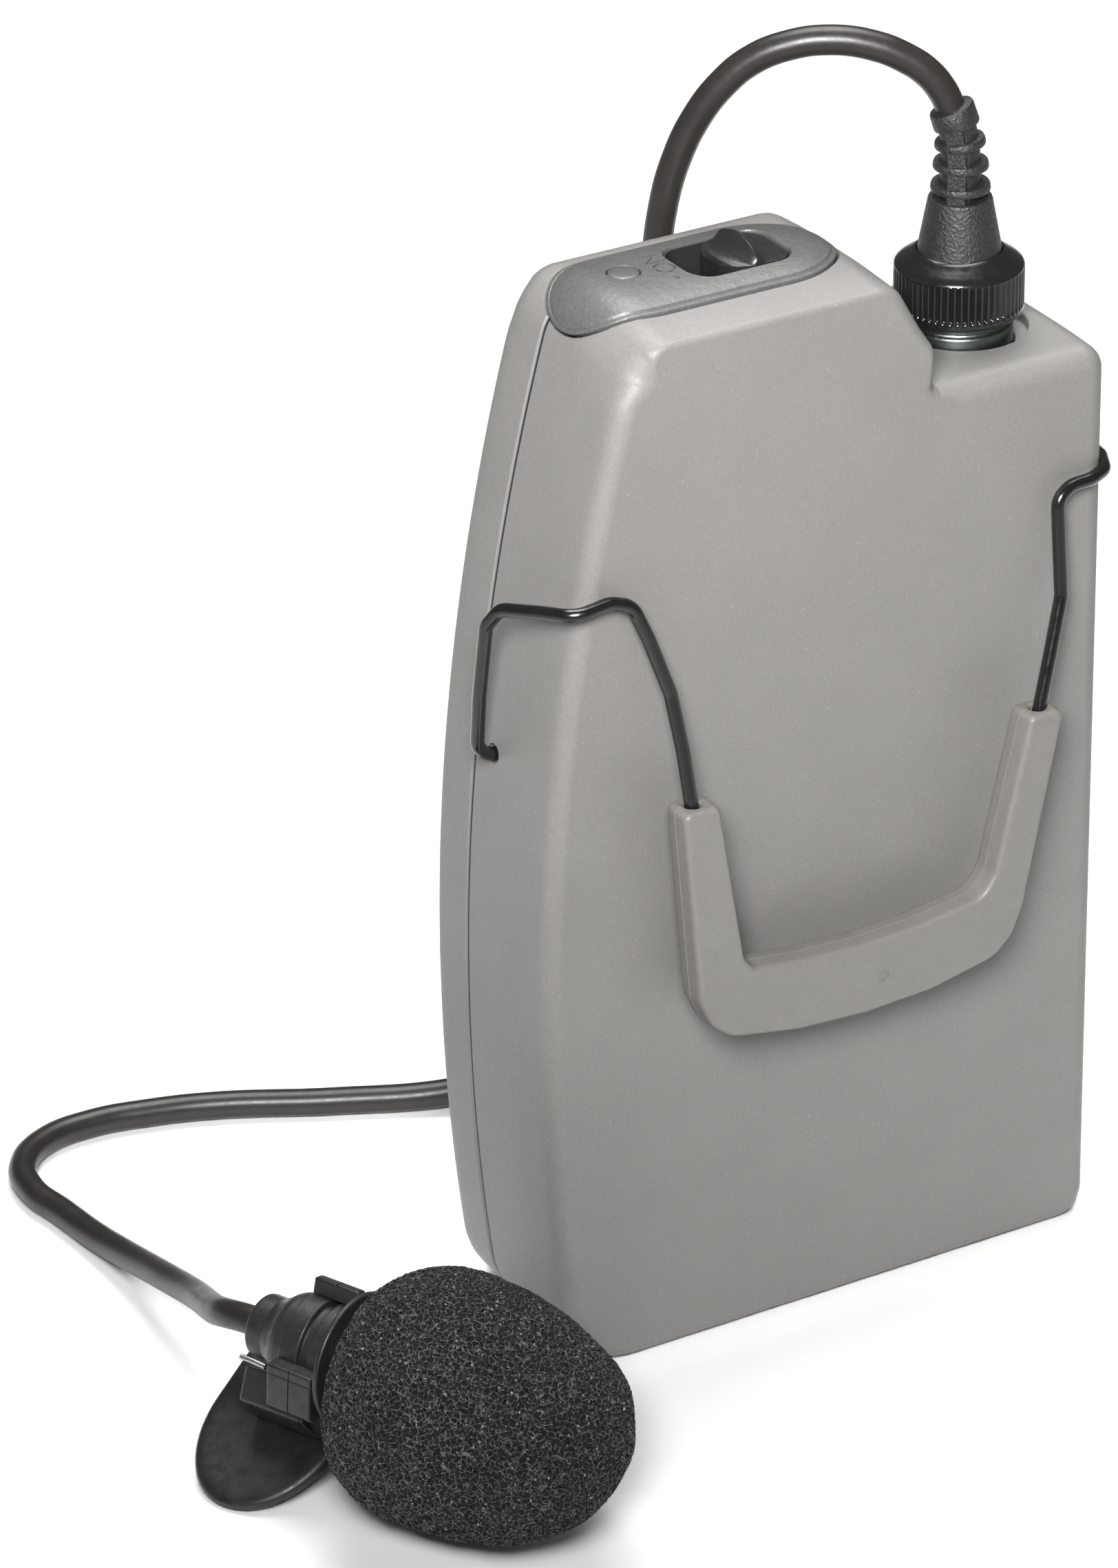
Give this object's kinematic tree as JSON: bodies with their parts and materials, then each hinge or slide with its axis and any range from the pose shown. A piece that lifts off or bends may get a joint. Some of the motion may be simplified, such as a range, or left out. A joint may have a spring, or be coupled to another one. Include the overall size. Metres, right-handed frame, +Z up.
{
  "type": "lavalier microphone",
  "caption": "Wireless lavalier microphone: body-pack transmitter with a sprung wire belt clip, a cord with a screw-on plug, and a tie-clip microphone under a foam windscreen.",
  "frame": {"origin": "centre of the pack's flat base, on the surface that it stands on", "axes": "+Z up; -Y out of the pack's front, where the belt clip is; +X to the right seen from the front, towards the connector"},
  "size_m": [0.1151, 0.115, 0.1267],
  "materials": {
    "case_plastic": "fine spark-textured satin",
    "cap_plastic": "fine-grained satin",
    "yoke_plastic": "smooth satin",
    "switch_plastic": "satin",
    "lens": "satin, translucent when lit",
    "led_resin": "gloss",
    "connector_metal": "dark satin",
    "nickel": "nickel plate",
    "ring_plastic": "gloss, knurled",
    "boot_rubber": "granular matte",
    "cell_jacket": "printed jacket, plain",
    "tray_plastic": "matte",
    "board_laminate": "solder mask",
    "steel": "zinc plate",
    "clip_wire": "black gloss over spring steel",
    "mic_plastic": "satin",
    "clip_plastic": "fine-grained satin",
    "foam": "open-cell foam",
    "cord_jacket": "satin"
  },
  "bodies": {
    "pack": {"front_shell": "case_plastic", "back_shell": "case_plastic", "case_screw_1": "steel", "case_screw_2": "steel", "case_screw_3": "steel", "case_screw_4": "steel", "top_cap": "cap_plastic", "switch_body": "switch_plastic", "indicator_lens": "lens", "indicator_led": "led_resin", "connector_collar": "connector_metal", "connector_nut": "nickel", "plug_core": "nickel", "cable_boot": "boot_rubber", "battery_cell_left": "cell_jacket", "battery_cell_right": "cell_jacket", "battery_tray": "tray_plastic", "contact_spring_left": "nickel", "contact_spring_right": "nickel", "contact_plate_left": "nickel", "contact_plate_right": "nickel", "circuit_board": "board_laminate", "radio_shield": "steel", "clip_leg_left": "clip_wire", "clip_leg_right": "clip_wire", "mic_body": "mic_plastic", "mic_capsule": "nickel", "mic_grille": "mic_plastic", "cord_rise": "cord_jacket", "cord_coil": "cord_jacket", "cord_run": "cord_jacket"},
    "power_switch": {"switch_slider": "switch_plastic"},
    "coupling_ring": {"coupling_ring": "ring_plastic"},
    "battery_door": {"battery_door": "case_plastic"},
    "belt_clip": {"clip_arm_left": "clip_wire", "clip_arm_right": "clip_wire", "clip_yoke": "yoke_plastic"},
    "windscreen": {"foam_windscreen": "foam"},
    "tie_clip": {"tie_clip_ring": "clip_plastic", "tie_clip_plate": "clip_plastic", "tie_clip_pin": "steel", "tie_clip_spring": "steel"},
    "tie_clip_lever": {"tie_clip_lever": "clip_plastic"}
  },
  "joints": [
    {"name": "power_switch_slide", "type": "slide", "parent": "pack", "child": "power_switch", "axis": [-1, 0, 0], "range_m": [0, 0.0036]},
    {"name": "coupling_ring_turn", "type": "hinge", "parent": "pack", "child": "coupling_ring", "pos_m": [0.0208, -0.0006, 0.1], "axis": [0, 0, 1], "continuous": true},
    {"name": "battery_door_slide", "type": "slide", "parent": "pack", "child": "battery_door", "axis": [0, 0, -1], "range_m": [0, 0.008]},
    {"name": "belt_clip_flex", "type": "hinge", "parent": "pack", "child": "belt_clip", "pos_m": [0.0006, -0.0126, 0.0821], "axis": [-1, 0, 0], "range_deg": [0, 12], "stiffness_Nm_per_rad": 0.5},
    {"name": "windscreen_pull", "type": "slide", "parent": "pack", "child": "windscreen", "axis": [0.4099, -0.9121, 0], "range_m": [0, 0.012]},
    {"name": "tie_clip_swivel", "type": "hinge", "parent": "pack", "child": "tie_clip", "pos_m": [-0.0567, -0.0131, 0.0137], "axis": [-0.4099, 0.9121, 0], "range_deg": [0, 180]},
    {"name": "tie_clip_lever_hinge", "type": "hinge", "parent": "tie_clip", "child": "tie_clip_lever", "pos_m": [-0.05312, -0.01149, 0.00471], "axis": [-0.4099, 0.9121, 0], "range_deg": [0, 12], "stiffness_Nm_per_rad": 0.02}
  ]
}
